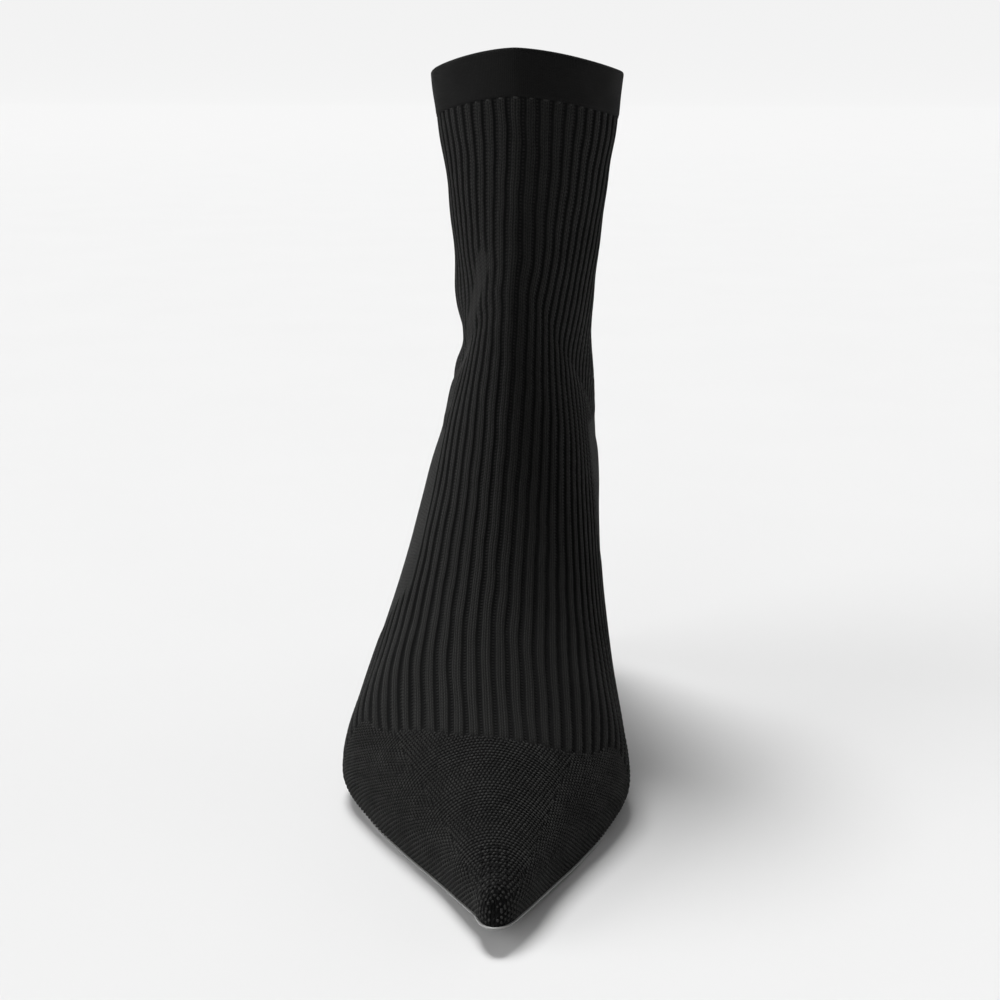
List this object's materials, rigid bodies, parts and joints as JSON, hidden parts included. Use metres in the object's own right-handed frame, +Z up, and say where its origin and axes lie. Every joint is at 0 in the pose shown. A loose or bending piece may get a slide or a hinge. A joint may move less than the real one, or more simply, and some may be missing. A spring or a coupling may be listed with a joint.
{
  "type": "sock boot",
  "caption": "Ribbed knit sock boot with a pointed toe, a plain folded cuff, a thin sole and a slim mid-height heel.",
  "frame": {"origin": "on the floor, under the middle of the whole boot's box", "axes": "+Z up, the toe points to -Y and the heel to +Y, and the big-toe side is +X"},
  "size_m": [0.0902, 0.2502, 0.2302],
  "materials": {
    "knit": "matte black rib knit",
    "insole": "smooth lining",
    "sole": "satin black",
    "heel": "satin black lacquer",
    "tip": "hard matte top lift"
  },
  "bodies": {
    "root": {"upper": "knit", "insole": "insole", "outsole": "sole", "heel": "heel", "heel_tip": "tip"}
  },
  "joints": []
}
